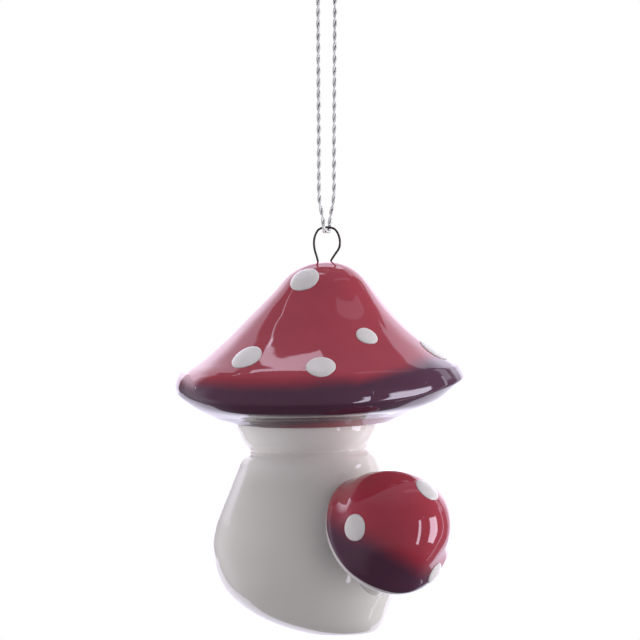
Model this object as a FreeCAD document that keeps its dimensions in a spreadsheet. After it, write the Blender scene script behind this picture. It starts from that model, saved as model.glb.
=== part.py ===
"""Slip-cast ceramic toadstool ornament on a wire eye and a loop of metallic cord.

Millimetres and degrees.  X runs to the right, Y away from the viewer and Z up.  The origin is
the inside top of the cord's loop, where a hook carries the ornament.
The castings are drawn in the cap's own frame, whose origin is the centre of the rim and whose
XY plane is the rim's, and are then hung from the wire eye as one.
"""

import FreeCAD, Part
import math
import os

import Sketcher
from FreeCAD import Matrix, Placement, Rotation, Vector

DIMENSIONS = {
    # cord: metallic twisted cord, tied into a loop
    "cord_diameter": 1.0,
    "loop_drop": 75.0,
    "hook_gauge": 2.8,
    "hook_wrap": 30.0,
    "strand_spread": 3.2,
    "strand_gap": 0.1,
    "end_run": 5.0,
    "knot_rise": 1.3,
    "knot_width": 3.4,
    "knot_height": 4.2,
    "tail_length": 8.0,
    "tail_splay": 1.7,
    "bight_radius": 1.2,
    "bight_turn": 58.0,
    "bight_straight": 1.4,
    "bight_parting": 5.6,
    "bight_height": 10.0,
    "eye_gap": 0.2,
    # eye: one wire, fired into the cap's tip
    "wire_diameter": 0.47,
    "eye_radius": 2.73,
    "eye_height": 6.95,
    "left_foot": 2.3,
    "right_foot": 0.9,
    "leg_depth": 4.5,
    # how the ornament hangs
    "side_tilt": 1.5,
    "front_tilt": 2.8,
    # large cap
    "cap_radius": 30.8,
    "cap_height": 25.3,
    "cap_tip_radius": 11.8,
    "cap_flare_radius": 90.0,
    "cap_rim_radius": 4.0,
    "cap_drop": 8.5,
    "cap_seat_radius": 16.6,
    "cap_wall": 2.8,
    "cap_solid_tip": 9.0,
    "cap_lean": 1.8,
    "eye_right": 0.73,
    # stem, its centre measured from the cap's centre
    "stem_wall": 2.8,
    "stem_offset": -2.5,
    "collar_radius": 14.7,
    "roll_radius": 14.6,
    "roll_depth": 2.0,
    "waist_radius": 13.5,
    "waist_depth": 4.2,
    "neck_radius": 12.6,
    "neck_depth": 5.6,
    "shoulder_radius": 15.2,
    "shoulder_depth": 9.3,
    "shoulder_offset": -2.6,
    "belly_radius": 19.95,
    "belly_depth": 25.9,
    "belly_offset": -3.6,
    "hip_radius": 17.8,
    "hip_depth": 35.6,
    "hip_offset": -2.5,
    "base_radius": 14.3,
    "base_depth": 39.6,
    "base_offset": -0.6,
    "sole_radius": 10.4,
    "sole_depth": 42.3,
    "sole_offset": 1.5,
    "foot_radius": 6.2,
    "foot_depth": 44.9,
    "foot_offset": 3.0,
    "vent_diameter": 4.0,
    # small mushroom, its rim's centre and the way it leans
    "bud_right": 13.6,
    "bud_forward": 18.6,
    "bud_below": 31.5,
    "bud_rise": 33.2,
    "bud_turn": 28.2,
    "bud_radius": 13.65,
    "bud_height": 15.5,
    "bud_tip_radius": 12.0,
    "bud_flare_radius": 24.0,
    "bud_rim_radius": 3.9,
    "bud_drop": 3.6,
    "bud_seat_radius": 7.2,
    "bud_wall": 2.4,
    "bud_solid_tip": 5.0,
    "bud_stem_radius": 6.4,
    "bud_root_radius": 6.8,
    "bud_stem_length": 12.0,
    # raised enamel dots
    "dot_rise": 0.45,
}

# Dots on a cap: name, turn from the front towards the right, distance from the axis, radius.
CAP_DOTS = (
    ("cap_dot_upper_left", -19.4, 7.5, 3.25),
    ("cap_dot_right", 31.6, 19.8, 2.4),
    ("cap_dot_left", -38.1, 24.1, 3.45),
    ("cap_dot_front", 1.3, 26.7, 3.1),
    ("cap_dot_far_right", 76.0, 25.0, 3.5),
    ("cap_dot_back_right", 128.0, 19.0, 2.9),
    ("cap_dot_back_upper", 160.0, 9.5, 2.6),
    ("cap_dot_back", 182.0, 22.5, 3.3),
    ("cap_dot_back_left", -138.0, 16.5, 2.6),
    ("cap_dot_far_left", -118.0, 24.5, 3.0),
)
BUD_DOTS = (
    ("bud_dot_left", -83.9, 11.4, 2.85),
    ("bud_dot_upper_right", 123.5, 5.0, 2.9),
    ("bud_dot_lower_right", 34.0, 12.8, 2.5),
    ("bud_dot_back", 135.0, 12.4, 2.4),
)

# Bends of a cut cord end above the knot's middle: share of the splay, millimetres backwards and
# share of the height.
TAIL_BENDS = ((0.35, 0.0, 0.08), (0.44, 0.1, 0.41), (0.8, 0.35, 0.68), (1.0, 0.3, 1.0))

SHEET = "dimensions"
os.makedirs("parts", exist_ok=True)
doc = FreeCAD.newDocument("toadstool_ornament")
sheet = doc.addObject("Spreadsheet::Sheet", SHEET)
for row, (word, value) in enumerate(DIMENSIONS.items(), start=1):
    sheet.set(f"A{row}", word)
    sheet.set(f"B{row}", str(value))
    sheet.setAlias(f"B{row}", word)
doc.recompute()


def size(word):
    """The sheet's value of one driving dimension."""
    return float(sheet.get(word))


def bind(item, place, formula):
    """Tie a property of item to a formula in the sheet's words."""
    for word in sorted(DIMENSIONS, key=len, reverse=True):
        formula = formula.replace(f"[{word}]", f"{SHEET}.{word}")
    item.setExpression(place, formula)


def add_feature(name, shape):
    """A node whose shape is made by Part's own functions."""
    feature = doc.addObject("Part::Feature", name)
    feature.Shape = shape
    feature.Label = name
    return feature


def cut(name, base, tool):
    """base with tool taken away."""
    result = doc.addObject("Part::Cut", name)
    result.Base = base
    result.Tool = tool
    result.Label = name
    doc.recompute()
    return result


def fuse(name, pieces):
    """Pieces joined into one solid."""
    result = doc.addObject("Part::MultiFuse", name)
    result.Shapes = pieces
    result.Label = name
    doc.recompute()
    return result


# ---------------------------------------------------------------- turned caps
def crossing(centre_a, reach_a, centre_b, reach_b):
    """The point at reach_a from centre_a and reach_b from centre_b, above the line between them."""
    apart = centre_b - centre_a
    along = (apart.Length**2 + reach_a**2 - reach_b**2) / (2 * apart.Length)
    off = math.sqrt(max(reach_a**2 - along**2, 0))
    forward = apart.normalize()
    return centre_a + forward * along + Vector(-forward.y, forward.x, 0) * off


def arc_between(centre, start, end):
    """The arc about centre from start to end, anticlockwise."""
    first = math.atan2(start.y - centre.y, start.x - centre.x)
    last = math.atan2(end.y - centre.y, end.x - centre.x)
    circle = Part.Circle(centre, Vector(0, 0, 1), (start - centre).Length)
    return Part.ArcOfCircle(circle, first, last if last > first else last + 2 * math.pi)


def turned_cap(name, part, opening):
    """A hollow cap turned about its axis, from a profile of tangent arcs: round tip, hollow flare,
    round rim, sloping underside and flat seat, with a hollow that follows the flare."""
    radius, height = size(f"{part}_radius"), size(f"{part}_height")
    tip, flare, rim = (size(f"{part}_{word}_radius") for word in ("tip", "flare", "rim"))
    seat, drop, wall = size(f"{part}_seat_radius"), size(f"{part}_drop"), size(f"{part}_wall")
    ceiling, hole = height - size(f"{part}_solid_tip"), size(opening) - wall
    tip_centre, rim_centre = Vector(0, height - tip, 0), Vector(radius - rim, 0, 0)
    flare_centre = crossing(tip_centre, flare + tip, rim_centre, flare + rim)
    shoulder = tip_centre + (flare_centre - tip_centre) * (tip / (flare + tip))
    brim = rim_centre + (flare_centre - rim_centre) * (rim / (flare + rim))
    seat_edge = Vector(seat, -drop, 0)
    reach = (seat_edge - rim_centre).Length
    under = crossing(rim_centre, rim, seat_edge, math.sqrt(reach**2 - rim**2))
    slope = (under - seat_edge).normalize()
    inner_edge = Vector(hole, wall - drop, 0)
    to_flare = inner_edge - flare_centre
    ahead = to_flare.dot(slope)
    run = -ahead - math.sqrt(max(ahead**2 - to_flare.dot(to_flare) + (flare + wall) ** 2, 0))
    inner_brim = inner_edge + slope * run
    dip = flare_centre.y - ceiling
    inner_top = Vector(flare_centre.x - math.sqrt((flare + wall) ** 2 - dip**2), ceiling, 0)
    corner, top, inner_tip = Vector(hole, -drop, 0), Vector(0, height, 0), Vector(0, ceiling, 0)

    body = doc.addObject("PartDesign::Body", name)
    sketch = body.newObject("Sketcher::SketchObject", f"{name}_profile")
    plane = [f for f in body.Origin.OriginFeatures if f.Role == "XZ_Plane"]
    sketch.AttachmentSupport = plane
    sketch.MapMode = "FlatFace"
    tip_arc, flare_arc, rim_arc, under_line, seat_line, hole_line, floor_line, inner_arc, roof, axis = (
        range(10)
    )
    sketch.addGeometry(
        [
            arc_between(tip_centre, shoulder, top),
            arc_between(flare_centre, shoulder, brim),
            arc_between(rim_centre, under, brim),
            Part.LineSegment(under, seat_edge),
            Part.LineSegment(seat_edge, corner),
            Part.LineSegment(corner, inner_edge),
            Part.LineSegment(inner_edge, inner_brim),
            arc_between(flare_centre, inner_top, inner_brim),
            Part.LineSegment(inner_top, inner_tip),
            Part.LineSegment(inner_tip, top),
        ],
        False,
    )
    start, end, middle, origin, across, upright = 1, 2, 3, -1, -1, -2
    joins = (
        ("Tangent", tip_arc, start, flare_arc, start),
        ("Tangent", flare_arc, end, rim_arc, end),
        ("Tangent", rim_arc, start, under_line, start),
        ("Coincident", under_line, end, seat_line, start),
        ("Coincident", seat_line, end, hole_line, start),
        ("Coincident", hole_line, end, floor_line, start),
        ("Coincident", floor_line, end, inner_arc, end),
        ("Coincident", inner_arc, start, roof, start),
        ("Coincident", roof, end, axis, start),
        ("Coincident", axis, end, tip_arc, end),
        ("Coincident", inner_arc, middle, flare_arc, middle),
        ("PointOnObject", tip_arc, middle, upright),
        ("PointOnObject", tip_arc, end, upright),
        ("PointOnObject", roof, end, upright),
        ("PointOnObject", rim_arc, middle, across),
        ("Horizontal", seat_line),
        ("Vertical", hole_line),
        ("Horizontal", roof),
        ("Parallel", floor_line, under_line),
    )
    for join in joins:
        sketch.addConstraint(Sketcher.Constraint(*join))
    sizes = (
        ("Radius", (tip_arc,), f"[{part}_tip_radius]", tip),
        ("Radius", (flare_arc,), f"[{part}_flare_radius]", flare),
        ("Radius", (rim_arc,), f"[{part}_rim_radius]", rim),
        ("Radius", (inner_arc,), f"[{part}_flare_radius] + [{part}_wall]", flare + wall),
        ("DistanceX", (origin, 1, rim_arc, middle), f"[{part}_radius] - [{part}_rim_radius]", radius - rim),
        ("DistanceY", (origin, 1, tip_arc, end), f"[{part}_height]", height),
        ("DistanceX", (origin, 1, seat_line, start), f"[{part}_seat_radius]", seat),
        ("DistanceY", (seat_line, start, origin, 1), f"[{part}_drop]", drop),
        ("DistanceX", (origin, 1, hole_line, start), f"[{opening}] - [{part}_wall]", hole),
        ("DistanceY", (hole_line, start, hole_line, end), f"[{part}_wall]", wall),
        ("DistanceY", (origin, 1, roof, end), f"[{part}_height] - [{part}_solid_tip]", ceiling),
    )
    for kind, ends, formula, value in sizes:
        place = sketch.addConstraint(Sketcher.Constraint(kind, *ends, value))
        bind(sketch, f"Constraints[{place}]", formula)
    turning = body.newObject("PartDesign::Revolution", f"{name}_turning")
    turning.Profile = sketch
    turning.ReferenceAxis = (sketch, ["V_Axis"])
    turning.Angle = 360.0
    doc.recompute()
    return body


# ---------------------------------------------------------------- tubes along a route
def tube(name, route, diameter, bends=None):
    """A round tube along straight runs joined by tangent arcs.  A bend that is not given is as
    large as its two runs allow."""
    bends = bends or {}
    edges, last, radii = [], route[0], []
    for k in range(1, len(route) - 1):
        before, after = route[k] - route[k - 1], route[k + 1] - route[k]
        half_turn = before.getAngle(after) / 2
        radius = bends.get(k, 0.45 * min(before.Length, after.Length) / math.tan(half_turn))
        reach = radius * math.tan(half_turn)
        start = route[k] - before.normalize() * reach
        end = route[k] + after.normalize() * reach
        inward = (after - before).normalize()
        middle = route[k] + inward * (radius / math.cos(half_turn) - radius)
        if (start - last).Length > 1e-6:
            edges.append(Part.LineSegment(last, start).toShape())
        edges.append(Part.Arc(start, middle, end).toShape())
        radii.append(round(radius, 2))
        last = end
    edges.append(Part.LineSegment(last, route[-1]).toShape())
    path = Part.Wire(edges)
    ring = Part.Wire(Part.makeCircle(diameter / 2, route[0], route[1] - route[0]))
    solid = path.makePipeShell([ring], True, False)
    expected = math.pi * diameter**2 / 4 * path.Length
    print(name, "length", round(path.Length, 1), "radii", radii, "volume share", solid.Volume / expected)
    return solid


# ---------------------------------------------------------------- large cap
cap_turned = turned_cap("cap_turned", "cap", "neck_radius")
lean = Matrix()
lean.A13 = size("cap_lean") / size("cap_height")
cap_casting = add_feature("cap_casting", cap_turned.Shape.transformGeometry(lean))

# ---------------------------------------------------------------- wire eye
eye_place = Vector(
    size("cap_lean") + size("eye_right"),
    0,
    size("cap_height") + size("eye_height"),
)


def leg(side, foot):
    """Where a leg leaves the ring, and its lower end in the cap's tip."""
    radius = size("eye_radius")
    centre = Vector(0, -radius, 0)
    foot_at = Vector(side * foot, -size("eye_height"), 0)
    reach = (foot_at - centre).Length
    away = (centre, radius, foot_at, math.sqrt(reach**2 - radius**2))
    if side > 0:
        leaves = crossing(*away)
    else:
        leaves = crossing(*away[2:], *away[:2])
    onward = (foot_at - leaves).normalize()
    return leaves, foot_at + onward * size("leg_depth")


def standing(point):
    """A point drawn flat, stood up in the plane of the eye."""
    return Vector(point.x, 0, point.y) + eye_place


left_leaves, left_end = leg(-1, size("left_foot"))
right_leaves, right_end = leg(1, size("right_foot"))
eye_path = Part.Wire(
    [
        Part.makeLine(standing(left_end), standing(left_leaves)),
        Part.Arc(standing(left_leaves), eye_place, standing(right_leaves)).toShape(),
        Part.makeLine(standing(right_leaves), standing(right_end)),
    ]
)
eye_ring = Part.Wire(
    Part.makeCircle(
        size("wire_diameter") / 2,
        standing(left_end),
        standing(left_leaves) - standing(left_end),
    )
)
wire_eye = add_feature("wire_eye", eye_path.makePipeShell([eye_ring], True, False))
cap_shell = cut("cap_shell", cap_casting, wire_eye)


# ---------------------------------------------------------------- stem
def hoop(name, radius, depth, offset):
    """A round section of the stem, from formulas for its radius, depth and sideways offset."""
    circle = doc.addObject("Part::Circle", name)
    bind(circle, "Radius", radius)
    bind(circle, "Placement.Base.x", offset)
    bind(circle, "Placement.Base.z", f"-[cap_drop] - ({depth})")
    return circle


def lofted(name, hoops):
    """A solid through a row of hoops."""
    loft = doc.addObject("Part::Loft", name)
    loft.Sections = hoops
    loft.Solid = True
    loft.Ruled = False
    doc.recompute()
    return loft


collar_form = lofted(
    "collar_form",
    [
        hoop("collar_top", "[collar_radius]", "0", "[stem_offset]"),
        hoop("collar_roll", "[roll_radius]", "[roll_depth]", "[stem_offset]"),
        hoop("collar_waist", "[waist_radius]", "[waist_depth]", "[stem_offset]"),
        hoop("collar_foot", "[neck_radius]", "[neck_depth]", "[stem_offset]"),
    ],
)
STATIONS = ("shoulder", "belly", "hip", "base", "sole", "foot")
bulb_hoops = [hoop("bulb_neck", "[neck_radius]", "[neck_depth]", "[stem_offset]")]
hollow_hoops = [
    hoop("hollow_top", "[neck_radius] - [stem_wall]", "-[stem_wall]", "[stem_offset]"),
    hoop("hollow_neck", "[neck_radius] - [stem_wall]", "[neck_depth]", "[stem_offset]"),
]
for station in STATIONS:
    radius, depth, offset = (f"[{station}_{word}]" for word in ("radius", "depth", "offset"))
    bulb_hoops.append(hoop(f"bulb_{station}", radius, depth, offset))
    if station not in ("sole", "foot"):
        hollow_hoops.append(hoop(f"hollow_{station}", f"{radius} - [stem_wall]", depth, offset))
hollow_hoops.append(
    hoop("hollow_foot", "[foot_radius] - [stem_wall] / 4", "[foot_depth] - [stem_wall]", "[foot_offset]")
)
bulb_form = lofted("bulb_form", bulb_hoops)
hollow_form = lofted("hollow_form", hollow_hoops)
stem_form = fuse("stem_form", [collar_form, bulb_form])
vent = doc.addObject("Part::Cylinder", "vent")
bind(vent, "Radius", "[vent_diameter] / 2")
bind(vent, "Height", "[stem_wall] * 2")
bind(vent, "Placement.Base.x", "[foot_offset]")
bind(vent, "Placement.Base.z", "-[cap_drop] - [foot_depth] - [stem_wall] / 2")
stem_hollow = fuse("stem_hollow", [hollow_form, vent])
stem_shell = cut("stem_shell", stem_form, stem_hollow)

# ---------------------------------------------------------------- small mushroom
bud_turned = turned_cap("bud_turned", "bud", "bud_stem_radius")
bud_place = Placement(
    Vector(size("bud_right"), -size("bud_forward"), -size("bud_below")),
    Rotation(Vector(0, 0, 1), size("bud_turn")).multiply(
        Rotation(Vector(1, 0, 0), 90 - size("bud_rise"))
    ),
)
bud_turned.Placement = bud_place
bud_cap = cut("bud_cap", bud_turned, stem_form)
bud_stem_form = doc.addObject("Part::Cone", "bud_stem_form")
bind(bud_stem_form, "Radius1", "[bud_root_radius]")
bind(bud_stem_form, "Radius2", "[bud_stem_radius]")
bind(bud_stem_form, "Height", "[bud_stem_length]")
bud_stem_form.Placement = bud_place.multiply(
    Placement(Vector(0, 0, -size("bud_drop") - size("bud_stem_length")), Rotation())
)
bud_stem = cut("bud_stem", bud_stem_form, stem_form)


# ---------------------------------------------------------------- enamel dots
def add_dots(casting, place, height, dots):
    """Lens-shaped dots of enamel seated on the outside of a cap."""
    made = []
    for name, turn, from_axis, radius in dots:
        across = Vector(
            from_axis * math.sin(math.radians(turn)),
            -from_axis * math.cos(math.radians(turn)),
            0,
        )
        high = place.multVec(across + Vector(0, 0, height))
        low = place.multVec(across)
        hits = Part.makeLine(high, low).common(casting.Shape).Vertexes
        seat = min((vertex.Point for vertex in hits), key=high.distanceToPoint)
        face = min(casting.Shape.Faces, key=lambda f: f.distToShape(Part.Vertex(seat))[0])
        outward = face.normalAt(*face.Surface.parameter(seat))
        lens = doc.addObject("Part::Ellipsoid", f"{name}_lens")
        bind(lens, "Radius1", "[dot_rise]")
        lens.Radius2 = radius
        lens.Placement = Placement(seat, Rotation(Vector(0, 0, 1), outward))
        made.append(cut(name, lens, casting))
    return made


cap_dots = add_dots(cap_casting, Placement(), size("cap_height"), CAP_DOTS)
bud_dots = add_dots(bud_cap, bud_place, size("bud_height"), BUD_DOTS)

# ---------------------------------------------------------------- hang the ornament
crown = Placement(Vector(0, 0, -size("loop_drop")), Rotation())
hang = crown.multiply(
    Placement(
        Vector(),
        Rotation(Vector(1, 0, 0), size("front_tilt")).multiply(
            Rotation(Vector(0, 1, 0), -size("side_tilt"))
        ),
    )
).multiply(Placement(-eye_place, Rotation()))
ornament = [cap_shell, wire_eye, stem_shell, bud_cap, bud_stem, *cap_dots, *bud_dots]

# ---------------------------------------------------------------- cord
def other_side(route):
    """The same route on the left: half a turn round the cord's axis."""
    return [Vector(-point.x, -point.y, point.z) for point in route]


thick = size("cord_diameter")
bight_turn = math.radians(size("bight_turn"))
sideways = size("bight_radius") * math.cos(bight_turn)
backwards = size("bight_radius") * math.sin(bight_turn)
eye_level = -size("loop_drop")
bight_level = eye_level - size("wire_diameter") / 2 - size("eye_gap") - thick / 2
round_top = bight_level + size("bight_radius")
joint_level = eye_level + size("bight_height")
low_half = size("strand_spread") / 2
high_half = size("hook_gauge") / 2 + thick / 2

rising = [
    Vector(sideways, backwards, bight_level),
    Vector(sideways, backwards, round_top + size("bight_straight")),
    Vector(low_half, 0, round_top + size("bight_parting")),
    Vector(low_half, 0, joint_level),
]
bight_route = other_side(rising)[::-1] + rising
round_corners = {3: size("bight_radius"), 4: size("bight_radius")}
cord_bight = add_feature("cord_bight", tube("cord_bight", bight_route, thick, round_corners))

hook_wrap = math.radians(size("hook_wrap"))
shoulder_level = high_half * math.tan(hook_wrap / 2) - size("hook_gauge") / 2
side_by_side = thick / 2 + size("strand_gap") / 2
meet_level = shoulder_level + (high_half - side_by_side) / math.tan(hook_wrap)
knot_level = meet_level + size("knot_rise") + size("knot_height") / 2
strand_route = [
    Vector(low_half, 0, joint_level),
    Vector(low_half, 0, joint_level + size("end_run")),
    Vector(high_half, 0, shoulder_level - size("end_run")),
    Vector(high_half, 0, shoulder_level),
    Vector(side_by_side, 0, meet_level),
    Vector(side_by_side, 0, knot_level),
]
cord_knot = doc.addObject("Part::Ellipsoid", "cord_knot")
bind(cord_knot, "Radius1", "[knot_height] / 2")
bind(cord_knot, "Radius2", "[knot_width] / 2")
cord_knot.Placement = Placement(Vector(0, 0, knot_level), Rotation())
doc.recompute()
hook_bend = {3: high_half}
right_strand = tube("cord_right_strand", strand_route, thick, hook_bend)
left_strand = tube("cord_left_strand", other_side(strand_route), thick, hook_bend)
cord_right_strand = add_feature("cord_right_strand", right_strand.cut(cord_knot.Shape))
cord_left_strand = add_feature("cord_left_strand", left_strand.cut(cord_knot.Shape))
tail_top = size("knot_height") / 2 + size("tail_length")
tail_route = [
    Vector(size("tail_splay") * right, back, knot_level + tail_top * up)
    for right, back, up in TAIL_BENDS
]
tails = [tube("cord_tail", route, thick) for route in (tail_route, other_side(tail_route))]
cord_tails = add_feature(
    "cord_tails", Part.makeCompound([piece.cut(cord_knot.Shape) for piece in tails])
)

# ---------------------------------------------------------------- check and write
doc.recompute()
for item in doc.Objects:
    if "Invalid" in item.State or "Error" in item.State:
        raise RuntimeError(f"{item.Name} could not be made: {item.State}")

nodes = {item.Label: item.Shape.copy() for item in ornament}
for shape in nodes.values():
    shape.Placement = hang.multiply(shape.Placement)
for item in (cord_knot, cord_tails, cord_left_strand, cord_right_strand, cord_bight):
    nodes[item.Label] = item.Shape.copy()
for name, shape in nodes.items():
    if shape.isNull() or not shape.isValid() or not shape.Solids:
        raise RuntimeError(f"{name} is not a sound solid")
    shape.exportStep(f"parts/{name}.step")
    print(name, "solids", len(shape.Solids), "volume", round(shape.Volume, 2))
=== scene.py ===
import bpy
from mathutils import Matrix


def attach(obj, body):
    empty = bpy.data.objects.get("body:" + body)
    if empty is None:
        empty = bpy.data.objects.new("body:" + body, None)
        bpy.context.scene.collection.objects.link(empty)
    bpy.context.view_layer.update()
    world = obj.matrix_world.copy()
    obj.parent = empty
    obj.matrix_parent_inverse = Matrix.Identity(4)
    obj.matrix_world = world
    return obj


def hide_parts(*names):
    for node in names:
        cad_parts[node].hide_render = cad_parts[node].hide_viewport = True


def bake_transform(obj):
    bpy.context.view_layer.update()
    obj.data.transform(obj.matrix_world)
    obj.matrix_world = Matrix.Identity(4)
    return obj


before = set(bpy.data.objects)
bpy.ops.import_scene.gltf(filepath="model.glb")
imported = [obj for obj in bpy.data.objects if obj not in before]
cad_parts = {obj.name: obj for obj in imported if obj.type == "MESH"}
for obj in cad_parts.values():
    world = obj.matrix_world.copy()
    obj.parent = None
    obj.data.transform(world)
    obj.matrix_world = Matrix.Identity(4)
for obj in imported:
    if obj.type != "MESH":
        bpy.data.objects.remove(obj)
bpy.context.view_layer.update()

import math

import bmesh
import bpy
from mathutils import Matrix, Vector, noise
from mathutils.bvhtree import BVHTree

# ---------------------------------------------------------------- the view
# The ornament hangs at eye level and is seen from the front through a long lens, from just above
# its middle.  The crown of the wire eye, 75 mm under the hook, fixes its place in the picture.
MM = 0.001
PHOTO_SIDE = 640
PIXEL = 0.21 * MM
CROWN = Vector((0, 0, -75.0))
CROWN_PIXEL = (326.6, 227.5)
VIEW_RISE = math.radians(1.2)
VIEW_DISTANCE = 4.0

scene = bpy.context.scene
towards_lens = Vector((0, -math.cos(VIEW_RISE), math.sin(VIEW_RISE)))
picture_up = Vector((0, math.sin(VIEW_RISE), math.cos(VIEW_RISE)))
picture_right = Vector((1, 0, 0))
middle = (
    CROWN * MM
    + picture_right * (PHOTO_SIDE / 2 - CROWN_PIXEL[0]) * PIXEL
    + picture_up * (CROWN_PIXEL[1] - PHOTO_SIDE / 2) * PIXEL
)
camera = bpy.data.objects.new("camera", bpy.data.cameras.new("camera"))
camera.location = middle + towards_lens * VIEW_DISTANCE
camera.rotation_euler = (math.pi / 2 - VIEW_RISE, 0, 0)
camera.data.angle = 2 * math.atan(PHOTO_SIDE / 2 * PIXEL / VIEW_DISTANCE)
scene.collection.objects.link(camera)
scene.camera = camera

# ---------------------------------------------------------------- hanging cord
# One length of twisted metallic cord, two plies of silver thread laid round each other.  It goes
# through the wire eye, rises on both sides of a hook and is tied above it.  Sizes are in metres.
CORD = 0.001
PLIES = 2
PLY_RADIUS = 0.00027
PLY_SIDES = 12
LAY = 0.0049
KNOT_LEVEL = 0.00485
# The right half of the loop, from the knot to the bight.
ROUTE = (
    (0.00055, 0, KNOT_LEVEL),
    (0.00055, 0, 0.001447),
    (0.0019, 0, -0.000891),
    (0.0019, 0, -0.005891),
    (0.0016, 0, -0.06),
    (0.0016, 0, -0.065),
    (0.0016, 0, -0.069135),
    (0.000636, 0.001018, -0.073335),
    (0.000636, 0.001018, -0.075935),
)
ROUTE_FINENESS = 110
SPLINE_ORDER = 3
THREAD_TONES = ((0.84, 0.84, 0.86), (0.97, 0.97, 0.98))
THREAD_SCALE = 2600.0
THREAD_HAIR = 0.0001
# Painted shade between the plies: how far off a ply it reaches, and how open a place is where it
# ends.
GROOVE_PAINTED_SHADE = (0.03, 0.03, 0.035)
GROOVE_REACH = 0.0006
GROOVE_EDGE = (0.73, 0.82)
GROOVE_FLECKS = 0.9


def link(name, mesh):
    """A new object in the scene that shows a mesh."""
    thing = bpy.data.objects.new(name, mesh)
    scene.collection.objects.link(thing)
    return thing


def smooth_line(points, fineness):
    """Points of the smooth line that a route's points draw in."""
    curve = bpy.data.curves.new("line", "CURVE")
    curve.dimensions = "3D"
    spline = curve.splines.new("NURBS")
    spline.points.add(len(points) - 1)
    for control, place in zip(spline.points, points):
        control.co = (*place, 1)
    spline.order_u = SPLINE_ORDER
    spline.use_endpoint_u = True
    spline.resolution_u = fineness
    holder = link("line", curve)
    mesh = bpy.data.meshes.new_from_object(holder)
    line = [vertex.co.copy() for vertex in mesh.vertices]
    bpy.data.objects.remove(holder)
    bpy.data.curves.remove(curve)
    bpy.data.meshes.remove(mesh)
    return line


def frames(line):
    """Each point of a line with two directions across the line, which don't wind round it."""
    side = (line[1] - line[0]).orthogonal().normalized()
    for k, point in enumerate(line):
        ahead = (line[min(k + 1, len(line) - 1)] - line[max(k - 1, 0)]).normalized()
        side = (side - ahead * side.dot(ahead)).normalized()
        yield point, side, ahead.cross(side)


def circle(centre, side, other, radius, sides, start=0):
    """The points of a ring, from a turn in radians on."""
    turns = [math.tau * n / sides + start for n in range(sides)]
    return [centre + (side * math.cos(t) + other * math.sin(t)) * radius for t in turns]


def skin(name, rings):
    """A smooth closed mesh over a row of rings; a ring of one point closes an end."""
    points, faces, starts = [], [], []
    for ring in rings:
        starts.append(len(points))
        points.extend(ring)
    for first, near, second, far in zip(starts, rings, starts[1:], rings[1:]):
        count = max(len(near), len(far))
        for k in range(count):
            onward = (k + 1) % count
            corners = [first + k % len(near), second + k % len(far)]
            corners += [second + onward % len(far), first + onward % len(near)]
            faces.append(list(dict.fromkeys(corners)))
    mesh = bpy.data.meshes.new(name)
    mesh.from_pydata(points, [], faces)
    shell = bmesh.new()
    shell.from_mesh(mesh)
    bmesh.ops.recalc_face_normals(shell, faces=shell.faces)
    shell.to_mesh(mesh)
    shell.free()
    mesh.shade_smooth()
    return mesh


def plies_along(line):
    """The rings of each ply of a cord that is laid along a line, closed at both ends."""
    plies = [[] for _ in range(PLIES)]
    length = 0
    before = line[0]
    for point, side, other in frames(line):
        length += (point - before).length
        before = point
        for number, ply in enumerate(plies):
            lay = math.tau * (length / LAY + number / PLIES)
            axis = point + (side * math.cos(lay) + other * math.sin(lay)) * (CORD / 2 - PLY_RADIUS)
            ply.append(circle(axis, side, other, PLY_RADIUS, PLY_SIDES, lay))
    for ply in plies:
        first, last = (sum(ring, Vector()) / PLY_SIDES for ring in (ply[0], ply[-1]))
        ply.insert(0, [first])
        ply.append([last])
    return plies


def cord_mesh(name, lines):
    """One mesh of twisted cord along each of some lines."""
    whole = bmesh.new()
    for line in lines:
        for ply in plies_along(line):
            mesh = skin(name, ply)
            whole.from_mesh(mesh)
            bpy.data.meshes.remove(mesh)
    mesh = bpy.data.meshes.new(name)
    whole.to_mesh(mesh)
    whole.free()
    mesh.shade_smooth()
    return mesh


def both_halves(points):
    """A row of points, and the same row turned half round the plumb line."""
    return [Vector(point) for point in points], [Vector((-x, -y, z)) for x, y, z in points]


right_half, left_half = both_halves(ROUTE)
cord_line = smooth_line(left_half + right_half[::-1], ROUTE_FINENESS)
cord = link("hanging_cord", cord_mesh("hanging_cord", [cord_line]))


def feed(tree, node, inputs):
    """Gives each input of a node its value, or the socket that feeds it."""
    for key, value in inputs.items():
        if isinstance(value, bpy.types.NodeSocket):
            tree.links.new(value, node.inputs[key])
        else:
            node.inputs[key].default_value = value
    return node


def add_node(tree, kind, inputs=None, **settings):
    """A new node with its settings and its inputs."""
    node = tree.nodes.new("ShaderNode" + kind)
    for setting, value in settings.items():
        setattr(node, setting, value)
    return feed(tree, node, inputs or {})


def reckon(tree, operation, first, second=0.0):
    """The result of a Math node."""
    return add_node(tree, "Math", {0: first, 1: second}, operation=operation).outputs[0]


def passage(tree, value, start, end, ends=(0.0, 1.0), kind="LINEAR"):
    """How far a value has come from start to end, as a number between the two ends."""
    span = {"Value": value, "From Min": start, "From Max": end, "To Min": ends[0], "To Max": ends[1]}
    return add_node(tree, "MapRange", span, interpolation_type=kind).outputs["Result"]


def place_on(tree):
    """The place on a piece, in metres."""
    return add_node(tree, "TexCoord").outputs["Object"]


def mottle(tree, place, scale, detail):
    """A random mottle between 0 and 1."""
    grain = {"Vector": place, "Scale": scale, "Detail": detail}
    return add_node(tree, "TexNoise", grain).outputs["Fac"]


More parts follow.
